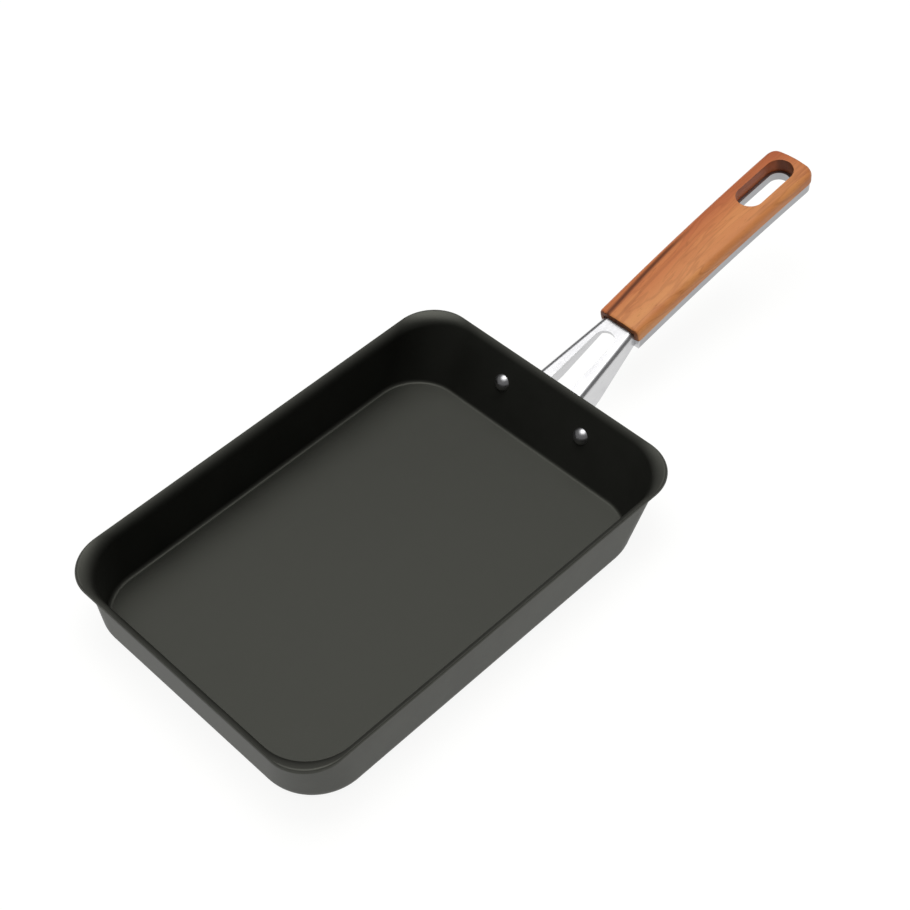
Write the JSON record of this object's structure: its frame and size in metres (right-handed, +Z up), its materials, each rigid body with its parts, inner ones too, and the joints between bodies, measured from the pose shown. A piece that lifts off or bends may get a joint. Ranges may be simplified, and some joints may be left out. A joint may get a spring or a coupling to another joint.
{
  "type": "rectangular omelette pan",
  "caption": "Rectangular rolled-omelette frying pan: shallow dark steel body, forked metal neck and a wood-grain grip with a hanging slot.",
  "frame": {"origin": "centre of the pan's flat bottom, on the surface it stands on", "axes": "+X from the pan towards the handle, +Y to the left seen from the far end towards the handle, +Z up out of the pan"},
  "size_m": [0.3363, 0.1344, 0.0492],
  "materials": {
    "coated_steel": "matt dark non-stick coating on pressed steel",
    "bracket_steel": "bright stamped stainless steel",
    "rivet_steel": "bright domed head",
    "grip_wood": "satin lacquered reddish brown grain",
    "screw_steel": "plain"
  },
  "bodies": {
    "root": {"pan_body": "coated_steel", "handle_bracket": "bracket_steel", "rivet_left": "rivet_steel", "rivet_right": "rivet_steel", "wooden_grip": "grip_wood", "grip_screw_front": "screw_steel", "grip_screw_rear": "screw_steel"}
  },
  "joints": []
}
